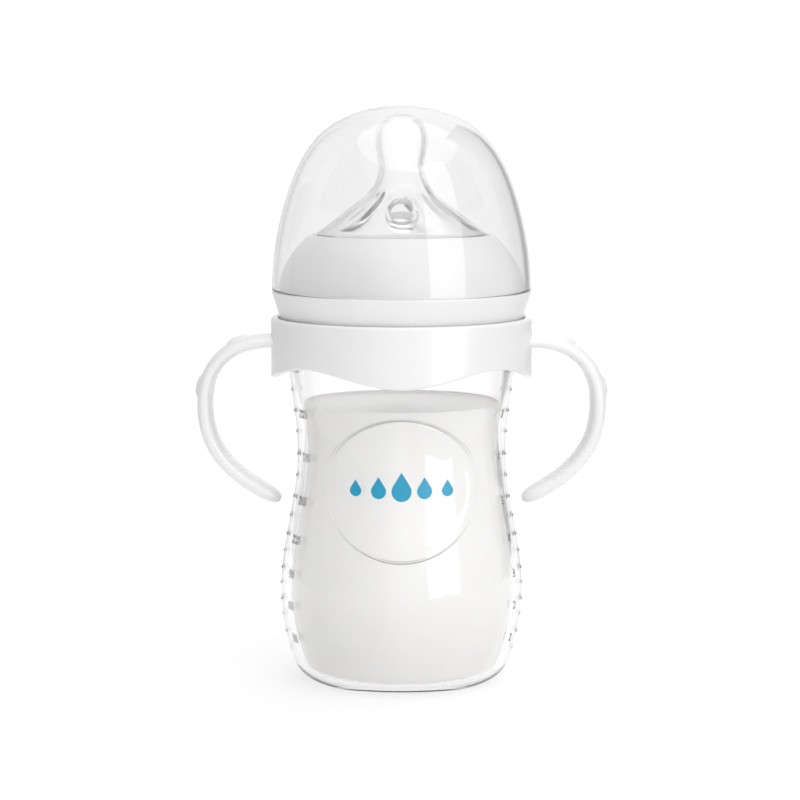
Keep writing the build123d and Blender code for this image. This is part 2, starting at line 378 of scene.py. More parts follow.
def let_lamps_through(material, shader):
    """Rays from lamps pass the clear wall, so what is inside is lit as through real glass."""
    nodes, links = material.node_tree.nodes, material.node_tree.links
    path = nodes.new("ShaderNodeLightPath")
    clear = nodes.new("ShaderNodeBsdfTransparent")
    mix = nodes.new("ShaderNodeMixShader")
    output = nodes["Material Output"]
    links.new(path.outputs["Is Shadow Ray"], mix.inputs[0])
    links.new(shader.outputs["BSDF"], mix.inputs[1])
    links.new(clear.outputs["BSDF"], mix.inputs[2])
    links.new(mix.outputs["Shader"], output.inputs["Surface"])


def oval_line(nodes, links, target):
    """Paints shade into the glass colour along the moulded edge of the medallion, most where it
    runs level and on the front half only, and leaves the rest of the wall clear; the painted shade
    stands in for the dark look of the lit edge."""
    place = nodes.new("ShaderNodeTexCoord").outputs["Object"]
    flatten = nodes.new("ShaderNodeVectorMath")
    flatten.operation = "MULTIPLY"
    flatten.inputs[1].default_value = (1 / (MEDALLION_WIDTH * MM), 0, 1 / (MEDALLION_HEIGHT * MM))
    centre = nodes.new("ShaderNodeVectorMath")
    centre.operation = "SUBTRACT"
    centre.inputs[1].default_value = (0, 0, MEDALLION_Z / MEDALLION_HEIGHT)
    far = nodes.new("ShaderNodeVectorMath")
    far.operation = "LENGTH"
    links.new(place, flatten.inputs[0])
    links.new(flatten.outputs["Vector"], centre.inputs[0])
    links.new(centre.outputs["Vector"], far.inputs[0])
    stops = [(position, grey(level)) for position, level in OVAL_SHADE_PROFILE]
    line = colour_stops(nodes, links, far.outputs["Value"], stops)
    line.color_ramp.interpolation = "EASE"
    height = nodes.new("ShaderNodeSeparateXYZ")
    links.new(centre.outputs["Vector"], height.inputs["Vector"])
    level = calculate(nodes, links, "ABSOLUTE", height.outputs["Z"])
    fade = rescale(nodes, links, level, OVAL_FADE, (0.0, OVAL_SHADE))
    depth = nodes.new("ShaderNodeSeparateXYZ")
    links.new(place, depth.inputs["Vector"])
    front = calculate(nodes, links, "LESS_THAN", depth.outputs["Y"], 0.0)
    strength = calculate(nodes, links, "MULTIPLY", line.outputs["Color"], fade.outputs["Result"])
    strength = calculate(nodes, links, "MULTIPLY", strength, front)
    # Painted shade: the glass colour darkens towards a dark grey along the edge.
    shade = colour_stops(nodes, links, strength, [(0.0, grey(1)), (1.0, grey(OVAL_SHADE_COLOUR))])
    links.new(shade.outputs["Color"], target)


def clear_material(name, ior, roughness, wave, colour=(1, 1, 1), clarity=1.0):
    """Clear moulded glass, plastic or silicone, with faint waves in its surface; clarity below 1
    makes it a little milky."""
    material, nodes, links, shader = new_material(
        name, Base_Color=(*colour, 1), Transmission_Weight=clarity, IOR=ior
    )
    flow = add_noise(nodes, links, 60, 1.0)
    roughen(nodes, links, flow, shader, wave, 0.001)
    grain = add_noise(nodes, links, 900, 2.0)
    vary(nodes, links, grain, shader.inputs["Roughness"], roughness * 0.6, roughness * 1.4)
    let_lamps_through(material, shader)
    return material


def bottle_glass():
    """Clear glass, with painted shade along the medallion's edge."""
    material = clear_material("bottle_glass", ior=1.47, roughness=0.01, wave=0.02)
    nodes, links = material.node_tree.nodes, material.node_tree.links
    oval_line(nodes, links, nodes["Principled BSDF"].inputs["Base Color"])
    return material


def white_plastic():
    """Glossy white plastic with a little light scattered inside."""
    material, nodes, links, shader = new_material(
        "white_plastic",
        IOR=1.49,
        Coat_Weight=0.25,
        Coat_Roughness=0.12,
        Subsurface_Weight=0.12,
        Subsurface_Scale=0.002,
    )
    shader.inputs["Subsurface Radius"].default_value = (1.0, 0.95, 0.9)
    cloud = add_noise(nodes, links, 45, 3.0)
    colour = shader.inputs["Base Color"]
    tint(nodes, links, cloud, colour, (0.84, 0.84, 0.845), (0.87, 0.87, 0.872))
    grain = add_noise(nodes, links, 2500, 3.0)
    vary(nodes, links, grain, shader.inputs["Roughness"], 0.27, 0.36)
    roughen(nodes, links, grain, shader, 0.02, 0.0001)
    return material


def milk_material():
    """Warm white liquid, seen through the wall."""
    material, nodes, links, shader = new_material(
        "milk",
        IOR=1.35,
        Subsurface_Weight=0.35,
        Subsurface_Scale=0.004,
    )
    shader.inputs["Subsurface Radius"].default_value = (1.0, 0.8, 0.6)
    cloud = add_noise(nodes, links, 25, 2.0)
    colour = shader.inputs["Base Color"]
    tint(nodes, links, cloud, colour, (0.885, 0.878, 0.862), (0.9, 0.893, 0.878))
    vary(nodes, links, cloud, shader.inputs["Roughness"], 0.18, 0.26)
    return material


def ink_material():
    """Cyan printing ink."""
    material, nodes, links, shader = new_material("cyan_ink", IOR=1.5)
    grain = add_noise(nodes, links, 1800, 3.0)
    colour = shader.inputs["Base Color"]
    tint(nodes, links, grain, colour, (0.006, 0.31, 0.50), (0.010, 0.34, 0.55))
    vary(nodes, links, grain, shader.inputs["Roughness"], 0.30, 0.45)
    return material


def floor_material():
    """Pale floor, partly lit from itself so that it stays white."""
    material, nodes, links, shader = new_material(
        "light_table", Emission_Color=(1, 1, 1, 1), Emission_Strength=0.6
    )
    grain = add_noise(nodes, links, 400, 3.0)
    tint(nodes, links, grain, shader.inputs["Base Color"], grey(0.375), grey(0.39))
    vary(nodes, links, grain, shader.inputs["Roughness"], 0.8, 0.9)
    return material


def card_material():
    """Matt pale card."""
    material, nodes, links, shader = new_material("card_grey", Base_Color=(*grey(0.85), 1))
    vary(nodes, links, add_noise(nodes, links, 60), shader.inputs["Roughness"], 0.7, 0.9)
    return material


glass = bottle_glass()
# The moulded numbers' clear glass is tinted grey: painted shade standing in for the dark look their
# edges take from refraction.
shaded_number_glass = clear_material(
    "shaded_number_glass", ior=1.47, roughness=0.05, wave=0.02, colour=grey(0.72)
)
clear_plastic = clear_material(
    "clear_plastic", ior=1.46, roughness=0.02, wave=0.03, colour=(0.932, 0.932, 0.936)
)
silicone = clear_material(
    "clear_silicone", ior=1.41, roughness=0.05, wave=0.05, colour=(0.965, 0.965, 0.96), clarity=0.92
)
white = white_plastic()
milk = milk_material()
ink = ink_material()


# ---- bottle ---------------------------------------------------------------------------------
def side_outline(inset, rows):
    """The bottle's side from its foot to the shoulder, moved inward by inset."""
    corner = BASE_CORNER - inset
    round_corner = arc((BASE_RADIUS, BASE_CORNER), corner, -90, CORNER_END, 16)
    turn = round_corner[-1]
    lean = math.radians(CORNER_END + 90)
    away = (math.cos(lean), math.sin(lean))
    up = (0, 1)
    belly_end = (BULGE_RADIUS - inset, BULGE_Z)
    waist = (WAIST_RADIUS - inset, WAIST_Z)
    upper = (UPPER_RADIUS - inset, UPPER_Z)
    shoulder = (SHOULDER_RADIUS - inset, SHOULDER_Z)
    share = rows / (SHOULDER_Z - turn[1])
    belly = smooth_line([turn, belly_end], away, up, int(share * (BULGE_Z - turn[1])))
    hollow = smooth_line([belly_end, waist], up, up, int(share * (WAIST_Z - BULGE_Z)))
    flare_rows = int(share * (SHOULDER_Z - WAIST_Z))
    flare = smooth_line([waist, upper, shoulder], up, SHOULDER_LEAN, flare_rows)
    return join(round_corner, belly, hollow, flare)


def radius_at(outline, z):
    """Radius of an outline at a height, for an outline that rises all the way."""
    heights = [p[1] for p in outline]
    radii = [p[0] for p in outline]
    return float(np.interp(z, heights, radii))


OUTER_SIDE = side_outline(0, 600)
INNER_SIDE = side_outline(WALL, 70)


def tick_heights():
    """Height of each volume mark below the ring, from the volume inside the bottle."""
    heights = np.linspace(WALL, SHOULDER_Z, 800)
    radii = np.array([radius_at(INNER_SIDE, z) for z in heights])
    areas = math.pi * radii**2 / MM3_PER_ML
    volumes = np.concatenate([[0], np.cumsum((areas[1:] + areas[:-1]) / 2 * np.diff(heights))])
    highest = RING_BOTTOM + 1
    count = int(np.interp(highest, heights, volumes) // TICK_ML)
    return [float(np.interp(TICK_ML * (k + 1), volumes, heights)) for k in range(count)]


TICKS = tick_heights()


def thread_relief(angle, z, start_z):
    """Height of the helical rib over its wall."""
    best = 0.0
    for turn in range(math.ceil(THREAD_TURNS)):
        swept = angle % TAU + turn * TAU
        if swept <= THREAD_TURNS * TAU:
            off = abs(z - start_z - THREAD_PITCH * swept / TAU)
            flank = (THREAD_BASE / 2 - off) / ((THREAD_BASE - THREAD_CREST) / 2)
            fade = min(swept, THREAD_TURNS * TAU - swept) / THREAD_FADE
            best = max(best, min(flank, fade, 1.0))
    return best * THREAD_HEIGHT


def medallion_relief(x, z):
    """Height of the oval lens over the wall: a raised rim round a slightly lower field."""
    far = math.hypot(x / MEDALLION_WIDTH, (z - MEDALLION_Z) / MEDALLION_HEIGHT)
    inside = (1 - far) * (MEDALLION_WIDTH + MEDALLION_HEIGHT) / 2
    rim = MEDALLION_PROUD * ramp(inside / MEDALLION_EDGE)
    return rim - DISH_DEPTH * ramp((inside - DISH_START) / DISH_WIDTH)


def tick_relief(angle, radius, z):
    """Height of the volume marks over the wall, on the +X and -X sides."""
    off_right = abs(math.remainder(angle, TAU))
    off_left = abs(math.remainder(angle - math.pi, TAU))
    across = min(off_right, off_left) * radius
    if across > TICK_LENGTHS[1] / 2 + TICK_HALF:
        return 0.0
    for index, height in enumerate(TICKS):
        if abs(z - height) < TICK_HALF:
            half = TICK_LENGTHS[index % 2] / 2
            crest = math.cos((z - height) / TICK_HALF * math.pi / 2)
            return TICK_PROUD * crest * ramp((half - across) / TICK_HALF + 0.5)
    return 0.0


def bottle_shape(radius, z, angle, row):
    """Moulded relief on the outside of the bottle."""
    if RECESS_DEPTH < z < SHOULDER_Z and radius > radius_at(INNER_SIDE, z) + WALL / 2:
        proud = tick_relief(angle, radius, z)
        if math.sin(angle) < 0:
            proud += medallion_relief(radius * math.cos(angle), z)
        return radius + proud, z
    if abs(radius - NECK_RADIUS) < 0.01:
        return radius + thread_relief(angle, z, BOTTLE_THREAD_Z), z
    return radius, z


def column_angles():
    """Angles round the bottle, closer together where the relief is."""
    fine, medium, coarse = 0.4, 0.8, 1.6
    angles = []
    degrees = 0.0
    while degrees < 360:
        angles.append(math.radians(degrees))
        at_ticks = min(abs(math.remainder(degrees, 180)), 90) < 8
        off_front = abs(degrees - 270)
        at_edge = 28 < off_front < 50
        degrees += fine if at_ticks or at_edge else medium if off_front < 50 else coarse
    return angles


def side_rows():
    """The outer side with its rows closer together at the volume marks and where the
    medallion's edge runs level."""
    finest, fine, coarse = 0.15, 0.22, 0.55
    rows = [OUTER_SIDE[0]]
    for radius, z in OUTER_SIDE[1:-1]:
        near_tick = min(abs(z - tick) for tick in TICKS) < TICK_HALF + finest
        off_centre = abs(z - MEDALLION_Z) / MEDALLION_HEIGHT
        if near_tick or 0.9 < off_centre < 1.03:
            step = finest
        else:
            step = fine if 0.62 < off_centre < 1.03 else coarse
        if math.dist(rows[-1], (radius, z)) > step:
            rows.append((radius, z))
    return rows + [OUTER_SIDE[-1]]


def make_bottle():
    """The clear bottle: base recess, side, shoulder, threaded neck, rim and inside."""
    neck_in = NECK_RADIUS - WALL
    recess_edge = RECESS_RADIUS + RECESS_DEPTH
    shoulder_in = SHOULDER_RADIUS - SHOULDER_ROUND
    rim_low = RIM_Z - RIM_ROUND
    outside = join(
        run((0, RECESS_DEPTH), (RECESS_RADIUS, RECESS_DEPTH), 6),
        run((RECESS_RADIUS, RECESS_DEPTH), (recess_edge, 0), 4),
        run((recess_edge, 0), (BASE_RADIUS, 0), 5),
        side_rows(),
        arc((shoulder_in, SHOULDER_Z), SHOULDER_ROUND, 0, 90, 8),
        run((shoulder_in, WEB_Z), (NECK_RADIUS, WEB_Z), 3),
        run((NECK_RADIUS, WEB_Z), (NECK_RADIUS, rim_low), 56),
        arc((NECK_RADIUS - RIM_ROUND, rim_low), RIM_ROUND, 0, 90, 5),
    )
    inside = join(
        arc((neck_in + RIM_ROUND, rim_low), RIM_ROUND, 90, 180, 5),
        run((neck_in, rim_low), (neck_in, WEB_Z + 1), 8),
        smooth_line([(neck_in, WEB_Z + 1), INNER_SIDE[-1]], (0, -1), (0.2, -1), 8),
        INNER_SIDE[::-1],
        run((BASE_RADIUS, WALL), (0, WALL), 8),
    )
    return lathe("bottle_shell", join(outside, inside), column_angles(), glass, bottle_shape)


def make_milk():
    """The milk: it stands a hair inside the wall, with a raised edge where it wets the glass."""
    side = [p for p in side_outline(WALL + MILK_GAP, 90) if p[1] < MILK_Z - 0.5]
    edge = radius_at(INNER_SIDE, MILK_Z) - MILK_GAP
    level = MILK_Z - WET_HEIGHT
    outline = join(
        run((0, WALL + MILK_GAP), (BASE_RADIUS, WALL + MILK_GAP), 6),
        side,
        [(edge, MILK_Z - 0.05)],
        smooth_line([(edge - 0.12, MILK_Z), (edge - WET_EDGE, level)], (-0.6, -1), (-1, 0), 8),
        run((edge - WET_EDGE, level), (0, level), 8),
    )
    return lathe("milk", outline, even_angles(192), milk)


def drop_outline(radius, count):
    """Outline of a drop with its point up, centred on its round part."""
    tip = DROP_POINT * radius
    half_angle = math.acos(radius / tip)
    points = []
    for i in range(count):
        angle = math.pi / 2 + half_angle + (TAU - 2 * half_angle) * i / (count - 1)
        points.append((radius * math.cos(angle), radius * math.sin(angle)))
    points.append((0, tip))
    return points


def make_print():
    """A row of drops printed on the medallion, largest in the middle."""
    rings = 6
    vertices = []
    faces = []

    def lay(x, z, lift):
        radius = radius_at(OUTER_SIDE, z) + medallion_relief(x, z) + lift
        vertices.append((x * MM, -math.sqrt(radius**2 - x**2) * MM, z * MM))

    for index, size in enumerate(DROP_RADII):
        centre_x = (index - (len(DROP_RADII) - 1) / 2) * DROP_PITCH
        outline = drop_outline(size, 40)
        start = len(vertices)
        for lift in (PRINT_TOP, PRINT_FOOT):
            for ring in range(rings, 0, -1):
                for x, z in outline:
                    scale = ring / rings
                    lay(centre_x + x * scale, MEDALLION_Z + z * scale, lift)
            lay(centre_x, MEDALLION_Z, lift)
        count = len(outline)
        layer = count * rings + 1
        for side in (0, 1):
            base = start + side * layer
            for i in range(count):
                j = (i + 1) % count
                for ring in range(rings - 1):
                    a, b = base + ring * count, base + (ring + 1) * count
                    face = (a + i, a + j, b + j, b + i)
                    faces.append(face if side == 0 else face[::-1])
                last = base + (rings - 1) * count
                face = (last + i, last + j, base + layer - 1)
                faces.append(face if side == 0 else face[::-1])
        for i in range(count):
            j = (i + 1) % count
            faces.append((start + j, start + i, start + layer + i, start + layer + j))
    return add_object("drop_print", vertices, faces, ink)


def make_numerals(side, values):
    """Moulded numbers beside every second volume mark, on one side of the bottle."""
    made = []
    for index, value in enumerate(values):
        z = TICKS[2 * index + 1]
        curve = bpy.data.curves.new(f"number_{side}_{value}", "FONT")
        curve.body = str(value)
        curve.size = NUMBER_SIZE
        curve.align_x = "CENTER"
        curve.align_y = "CENTER"
        curve.extrude = NUMBER_HALF_DEPTH
        text = bpy.data.objects.new(curve.name, curve)
        bpy.context.scene.collection.objects.link(text)
        graph = bpy.context.evaluated_depsgraph_get()
        mesh = bpy.data.meshes.new_from_object(text.evaluated_get(graph))
        bpy.data.objects.remove(text)
        turn = math.radians(NUMBER_TURNS[side])
        for v in mesh.vertices:
            x, y, w = v.co
            radius = radius_at(OUTER_SIDE, z + y)
            angle = turn + x / radius
            radius += w + NUMBER_LIFT
            v.co = (radius * math.cos(angle) * MM, radius * math.sin(angle) * MM, (z + y) * MM)
        mesh.materials.clear()
        # Grey-tinted glass: painted shade for the numbers' dark look.
        mesh.materials.append(shaded_number_glass)
        made.append(bpy.data.objects.new(curve.name, mesh))
        bpy.context.scene.collection.objects.link(made[-1])
    return made


# ---- teat -----------------------------------------------------------------------------------
def teat_side(inset):
    """Flank, neck, bulb and crown of the teat, moved inward by inset."""
    foot = (TEAT_BASE - inset, TEAT_FOOT_Z)
    flank_end = tuple(p - inset * share for p, share in zip(FLANK_END, FLANK_END_INSET))
    neck = (TEAT_NECK_RADIUS - inset, TEAT_NECK_Z)
    bulb = (BULB_RADIUS - inset, BULB_Z)
    away = (flank_end[0] - foot[0], flank_end[1] - foot[1])
    height = TIP_Z - inset - BULB_Z
    crown = []
    for t in np.linspace(0, math.pi / 2, 28):
        r = bulb[0] * math.cos(t) ** CROWN_POWER
        z = BULB_Z + height * math.sin(t) ** CROWN_POWER
        crown.append((max(r, TIP_HOLE), z))
    return join(
        run(foot, flank_end, 36),
        smooth_line([flank_end, neck], away, (0, 1), 20),
        smooth_line([neck, bulb], (0, 1), (0, 1), 16),
        crown,
    )


def rib_shape(first_row):
    """Ribs on the inside of the flank, which keep the teat from collapsing."""

    def shape(radius, z, angle, row):
        if row < first_row or not RIB_LOW < z < RIB_HIGH:
            return radius, z
        along = math.sin(math.pi * (z - RIB_LOW) / (RIB_HIGH - RIB_LOW))
        wave = max(0.0, math.cos(RIB_COUNT * angle + math.pi / 2)) ** 2
        return radius - RIB_IN * along * wave, z - RIB_DOWN * along * wave

    return shape


def make_teat():
    """The silicone teat: clamped flange, flank, neck and bulb, hollow and open at the tip."""
    flange_top = RIM_Z + FLANGE_THICKNESS
    flange_in = FLANGE_RADIUS - FLANGE_ROUND
    outer = join(
        [(FLANGE_RADIUS, RIM_Z)],
        arc((flange_in, flange_top - FLANGE_ROUND), FLANGE_ROUND, 0, 90, 5),
        run((flange_in, flange_top), (TEAT_BASE, flange_top), 6),
        run((TEAT_BASE, flange_top), (TEAT_BASE, TEAT_FOOT_Z), 6),
        teat_side(0),
    )
    inner_side = teat_side(TEAT_WALL)
    inner = join(
        inner_side[::-1],
        run(inner_side[0], (inner_side[0][0], RIM_Z), 8),
    )
    outline = join(outer, inner)
    shape = rib_shape(len(outer))
    return lathe("teat_silicone", outline, even_angles(240), silicone, shape, closed=True)


def make_vent():
    """The round vent valve boss on the front of the flank, as a short cup with a raised rim."""
    mouth = VENT_RADIUS - 2 * VENT_LIP
    well = mouth - 0.2
    outline = join(
        run((0, -VENT_LENGTH), (VENT_RADIUS, -VENT_LENGTH), 4),
        run((VENT_RADIUS, -VENT_LENGTH), (VENT_RADIUS, -VENT_LIP), 8),
        arc((VENT_RADIUS - VENT_LIP, -VENT_LIP), VENT_LIP, 0, 180, 12),
        run((mouth, -VENT_LIP), (well, -VENT_DEPTH), 3),
        run((well, -VENT_DEPTH), (0, -VENT_DEPTH), 5),
    )
    boss = lathe("teat_vent", outline, even_angles(64), silicone)
    boss.rotation_euler = (math.pi / 2 - VENT_TILT, 0, 0)
    boss.location = Vector((0, -VENT_REACH, VENT_Z)) * MM
    bpy.context.view_layer.update()
    boss.data.transform(boss.matrix_world)
    boss.matrix_world.identity()
    bpy.context.view_layer.update()
    return boss


# ---- collar and cover -----------------------------------------------------------------------
def collar_shape(radius, z, angle, row):
    """Cuts the thread into the bore, half a pitch away from the bottle's."""
    if abs(radius - COLLAR_BORE) < 0.01:
        start = BOTTLE_THREAD_Z - THREAD_PITCH / 2
        return radius - thread_relief(angle, z, start), z
    return radius, z


def make_collar():
    """The screw collar: skirt, ledge for the cover, rounded top, sleeve and threaded bore."""
    foot = (FOOT_RADIUS, LEDGE_Z)
    seat = RIM_Z + FLANGE_THICKNESS
    sleeve = LIP_RADIUS + SLEEVE_WALL
    sleeve_top = LIP_Z - 4.5
    bore_top = LEDGE_Z + 4
    skirt_round = 0.3
    ledge_round = 0.35
    ledge_in = LEDGE_RADIUS - ledge_round
    ledge_low = LEDGE_Z - ledge_round
    lip_low = LIP_Z - 1.0
    dome = smooth_line([foot, (LIP_RADIUS, LIP_Z)], (0.02, 1), (-1.0, 0.75), 60)
    dome = [p for p in dome if p[0] > LIP_RADIUS + 0.65]
    skirt_foot = (SKIRT_RADIUS, COLLAR_BOTTOM + skirt_round)
    outline = join(
        run((SKIRT_RADIUS - skirt_round, COLLAR_BOTTOM), skirt_foot, 4),
        run(skirt_foot, (LEDGE_RADIUS, ledge_low), 24),
        arc((ledge_in, ledge_low), ledge_round, 0, 90, 6),
        run((ledge_in, LEDGE_Z), foot, 4),
        dome,
        smooth_line([dome[-1], (LIP_RADIUS, lip_low)], (-1.0, 0.6), (0, -1), 8),
        run((LIP_RADIUS, lip_low), (LIP_RADIUS, seat), 8),
        run((LIP_RADIUS, seat), (sleeve, seat), 3),
        run((sleeve, seat), (sleeve, sleeve_top), 4),
        run((sleeve, sleeve_top), (COLLAR_BORE, bore_top), 8),
        run((COLLAR_BORE, bore_top), (COLLAR_BORE, COLLAR_BOTTOM), 60),
    )
    return lathe("screw_collar", outline, even_angles(256), white, collar_shape, closed=True)


def cover_side(inset):
    """The dome's outline from its rounded edge to the top, moved inward by inset."""
    points = [(COVER_RADIUS - inset, LEDGE_Z)]
    for (radius, z), (share_in, share_down) in COVER_POINTS:
        points.append((radius - inset * share_in, z - inset * share_down))
    points.append((0, TOP_Z - inset))
    side = smooth_line(points, (-0.01, 1), (-1, 0), 110)
    side[-1] = (0.0, side[-1][1])
    return [p for p in side if p[1] > LEDGE_Z + COVER_EDGE]


def make_cover():
    """The clear dome, an even shell with a rounded lower edge."""
    outer = cover_side(0)
    inner = cover_side(COVER_WALL)
    bottom = (COVER_RADIUS - COVER_WALL / 2, LEDGE_Z + 0.02)
    edge = smooth_line([inner[0], bottom, outer[0]], (0.2, -1), (-0.2, 1), 14)
    outline = join(inner[::-1], edge, outer)
    return lathe("clear_dome", outline, even_angles(256), clear_plastic)


# ---- handle ring ----------------------------------------------------------------------------
def ring_shape(radius, z, angle, row):
    """Raises the lower edge in four waves, low at the front, back and sides."""
    wave = RING_WAVE * (1 - math.cos(4 * angle)) / 2
    low = max(0.0, 1 - (z - RING_BOTTOM) / (WEB_Z - RING_BOTTOM))
    return radius, z + wave * low


def make_ring_band():
    """The ring's wall, with the web inside that rests on the bottle's shoulder."""
    inner = RING_RADIUS - RING_WALL
    web_top = WEB_Z + WEB_THICKNESS
    web_bottom = WEB_Z + WEB_GAP
    foot = RING_BOTTOM + RING_ROUND
    shoulder = RING_TOP - RING_TOP_ROUND
    inner_top = RING_TOP - RING_INNER_ROUND
    inner_foot = RING_BOTTOM + RING_INNER_ROUND
    inner_centre = inner + RING_INNER_ROUND
    outline = join(
        arc((RING_RADIUS - RING_ROUND, foot), RING_ROUND, -90, 0, 6),
        run((RING_RADIUS, foot), (RING_RADIUS, shoulder), 30),
        arc((RING_RADIUS - RING_TOP_ROUND, shoulder), RING_TOP_ROUND, 0, 90, 8),
        arc((inner_centre, inner_top), RING_INNER_ROUND, 90, 180, 6),
        run((inner, inner_top), (inner, web_top), 3),
        run((inner, web_top), (WEB_RADIUS, web_top), 4),
        run((WEB_RADIUS, web_top), (WEB_RADIUS, web_bottom), 3),
        run((WEB_RADIUS, web_bottom), (inner, web_bottom), 4),
        run((inner, web_bottom), (inner, inner_foot), 16),
        arc((inner_centre, inner_foot), RING_INNER_ROUND, 180, 270, 5),
    )
    return lathe("handle_ring_shell", outline, even_angles(288), white, ring_shape, closed=True)


def arm_section(step, total, side, normal, centre):
    """One closed section of the arm: a rounded strap, with the grip bumps on its outer side."""
    width = ARM_WIDTH[0] + (ARM_WIDTH[1] - ARM_WIDTH[0]) * step
    thick = min(ARM_THICKNESS[1], ARM_THICKNESS[0] + ARM_THICKENING * step)
    points = []
    for angle in even_angles(ARM_POINTS):
        c, s = math.cos(angle), math.sin(angle)
        across = math.copysign(abs(c) ** SIDE_ROUNDING, c) * width / 2
        up = math.copysign(abs(s) ** FACE_ROUNDING, s) * thick / 2
        if s > 0:
            for place, half_length in BUMPS:
                along = (step - place) * total / half_length
                gone = along**2 + (across / BUMP_HALF_WIDTH) ** 2
                up += BUMP_HEIGHT * ramp((1 - gone) * 1.2) * s**0.3
        points.append(centre + normal * up + side * across)
    return points


def make_arm(name):
    """The arm on the +X side, swept along its route, with a rounded tip."""
    points = smooth_line(ARM_ROUTE, ARM_START, ARM_END, ARM_ROWS)
    route = [Vector((x, 0, z)) for x, z in points]
    lengths = [0.0]
    for a, b in zip(route, route[1:]):
        lengths.append(lengths[-1] + (b - a).length)
    total = lengths[-1]
    side = Vector((0, 1, 0))
    rows = []
    for i in range(ARM_ROWS):
        before, after = route[max(i - 1, 0)], route[min(i + 1, ARM_ROWS - 1)]
        forward = (after - before).normalized()
        normal = Vector((-forward.z, 0, forward.x))
        rows.append(arm_section(lengths[i] / total, total, side, normal, route[i]))
    last_row = ARM_ROWS - 1
    while lengths[last_row] > total - TIP_LENGTH:
        last_row -= 1
    rows = rows[: last_row + 1]
    tip_centre = route[last_row]
    forward = (route[-1] - tip_centre).normalized()
    reach = total - lengths[last_row] + ARM_THICKNESS[1] / 2 - 0.1
    for k in range(1, TIP_ROWS):
        swing = math.pi / 2 * k / TIP_ROWS
        centre = tip_centre + forward * reach * math.sin(swing)
        shrink = math.cos(swing) ** TIP_ROUNDING
        rows.append([centre + (p - tip_centre) * shrink for p in rows[last_row]])
    vertices = [p * MM for row in rows for p in row]
    size = len(rows[0])
    faces = []
    for r in range(len(rows) - 1):
        for i in range(size):
            j = (i + 1) % size
            faces.append((r * size + i, (r + 1) * size + i, (r + 1) * size + j, r * size + j))
    start_centre = len(vertices)
    vertices.append(route[0] * MM)
    end_centre = len(vertices)
    vertices.append((tip_centre + forward * reach) * MM)
    last = (len(rows) - 1) * size
    for i in range(size):
        j = (i + 1) % size
        faces.append((start_centre, i, j))
        faces.append((last + i, end_centre, last + j))
    return add_object(name, vertices, faces, white)


# ---- build every piece ----------------------------------------------------------------------
bottle = make_bottle()
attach(bottle, "bottle")
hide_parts("bottle_body")

steps = range(1, len(TICKS) // 2 + 1)
numbers = make_numerals("left", [2 * TICK_ML * k for k in steps]) + make_numerals("right", steps)
for number in numbers:
    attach(number, "bottle")

print_layer = make_print()
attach(print_layer, "bottle")
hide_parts("front_print")
print_layer.visible_shadow = False
print_layer.visible_diffuse = False
print_layer.visible_transmission = False

milk_body = make_milk()
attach(milk_body, "bottle")
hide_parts("milk_fill")

teat = make_teat()
combine(teat, make_vent(), "UNION")
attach(teat, "teat")
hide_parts("teat")

collar = make_collar()
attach(collar, "collar")
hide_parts("collar_ring")

cover = make_cover()
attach(cover, "cover")
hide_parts("dome_cover")

ring = make_ring_band()
arm = make_arm("handle_arm")
other_arm = arm.copy()
other_arm.data = arm.data.copy()
for v in other_arm.data.vertices:
    v.co = (-v.co.x, -v.co.y, v.co.z)
bpy.context.scene.collection.objects.link(other_arm)
combine(ring, arm, "UNION")
combine(ring, other_arm, "UNION")
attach(ring, "handles")
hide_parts("handle_ring")


# ---- floor, light and camera ----------------------------------------------------------------
FLOOR_HALF, FLOOR_Z = 0.3, -0.0001


def floor_point(a, b):
    """A place on the floor, a hair under the bottle."""
    return (FLOOR_HALF * (2 * a - 1), FLOOR_HALF * (2 * b - 1), FLOOR_Z)


add_sheet("floor", floor_point, 8, floor_material())


def add_lamp(name, kind, place, target, watts):
    """A lamp at a place, turned towards a target, both in metres: its object and its data."""
    lamp = bpy.data.lights.new(name, kind)
    lamp.energy = watts
    made = bpy.data.objects.new(name, lamp)
    made.location = place
    made.rotation_mode = "QUATERNION"
    made.rotation_quaternion = (Vector(target) - Vector(place)).to_track_quat("-Z", "Y")
    bpy.context.scene.collection.objects.link(made)
    return made, lamp


softbox_object, softbox = add_lamp("softbox_right", "AREA", (0.78, -0.9, 0.4), (0, 0, 0.1), 11)
softbox.shape = "RECTANGLE"
softbox.size = 0.73
softbox.size_y = 1.9
softbox_object.visible_camera = False
softbox_object.visible_diffuse = False
softbox_object.visible_transmission = False
top_light = add_lamp("top_light", "SUN", (0.12, -0.1, 1.5), (0, 0, 0), 1.05)[1]
top_light.angle = math.radians(75)
top_light.use_shadow = False

# Brightness of the surround by direction: x from left to right, y from the front to the back.
WORLD_SIDES = ((-1.0, 0.0), (-0.35, 0.54), (0.1, 1.06), (0.5, 0.9), (1.0, 0.22))
WORLD_DEPTHS = ((-1.0, 1.5), (-0.5, 1.16), (-0.1, 1.0), (0.5, 1.0), (1.0, 1.0))
CURVE_TOP = 2
WHITE_LEVEL, GLOSS_LEVEL = 1.05, 0.55


